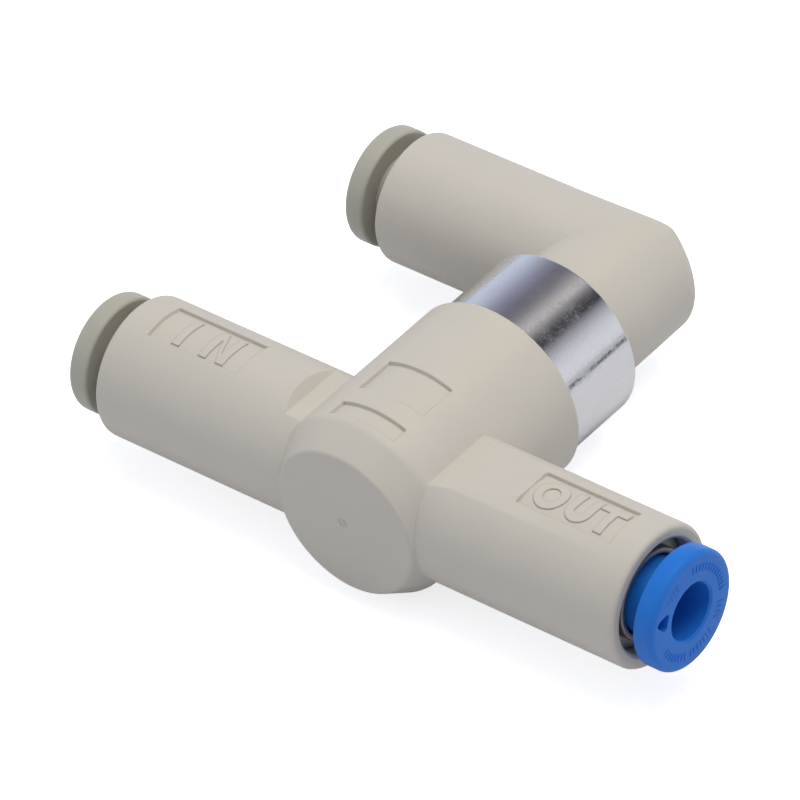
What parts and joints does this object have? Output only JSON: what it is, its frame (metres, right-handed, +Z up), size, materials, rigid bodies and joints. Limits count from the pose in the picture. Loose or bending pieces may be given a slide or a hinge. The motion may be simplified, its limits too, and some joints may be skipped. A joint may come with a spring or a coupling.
{
  "type": "shuttle valve",
  "caption": "Moulded shuttle valve: straight push-in tube ports on a barrel, a plated metal collar and a swivelling elbow port. A sliding shuttle feeds the outlet from the higher inlet.",
  "frame": {"origin": "middle of the flat front face of the barrel", "axes": "-Y out of the front face along the barrel's axis, +Y back to the collar and the elbow; +X to the outlet with the blue release button; +Z up, the side with the label recesses"},
  "size_m": [0.0506, 0.0352, 0.0142],
  "materials": {
    "body_resin": "warm light grey moulded resin with a fine matte surface",
    "plated_metal": "bright nickel plating",
    "seat_brass": "turned brass",
    "spring_steel": "thin stainless strip",
    "black_rubber": "black rubber",
    "collet_acetal": "natural acetal",
    "grey_button": "light grey moulded acetal",
    "blue_button": "blue moulded acetal"
  },
  "bodies": {
    "housing": {"valve_body": "body_resin", "collar": "plated_metal", "rear_seat": "seat_brass", "seat_o_ring": "black_rubber", "elbow_clip": "spring_steel", "in_guide_ring": "plated_metal", "in_chuck": "spring_steel", "in_collet": "collet_acetal", "in_tube_seal": "black_rubber", "out_guide_ring": "plated_metal", "out_chuck": "spring_steel", "out_collet": "collet_acetal", "out_tube_seal": "black_rubber"},
    "elbow": {"elbow_body": "body_resin", "elbow_o_ring": "black_rubber", "elbow_guide_ring": "plated_metal", "elbow_chuck": "spring_steel", "elbow_collet": "collet_acetal", "elbow_tube_seal": "black_rubber"},
    "in_button": {"in_release_button": "grey_button"},
    "out_button": {"out_release_button": "blue_button"},
    "elbow_button": {"elbow_release_button": "grey_button"},
    "shuttle": {"shuttle": "black_rubber"}
  },
  "joints": [
    {"name": "elbow_swivel", "type": "hinge", "parent": "housing", "child": "elbow", "pos_m": [0, 0.02375, 0], "axis": [0, 1, 0], "continuous": true},
    {"name": "in_button_press", "type": "slide", "parent": "housing", "child": "in_button", "axis": [1, 0, 0], "range_m": [0, 0.001], "stiffness_N_per_m": 200},
    {"name": "out_button_press", "type": "slide", "parent": "housing", "child": "out_button", "axis": [-1, 0, 0], "range_m": [-0.0004, 0.0006], "stiffness_N_per_m": 200},
    {"name": "elbow_button_press", "type": "slide", "parent": "elbow", "child": "elbow_button", "axis": [1, 0, 0], "range_m": [0, 0.001], "stiffness_N_per_m": 200},
    {"name": "shuttle_slide", "type": "slide", "parent": "housing", "child": "shuttle", "axis": [0, 1, 0], "range_m": [0, 0.0007]}
  ]
}
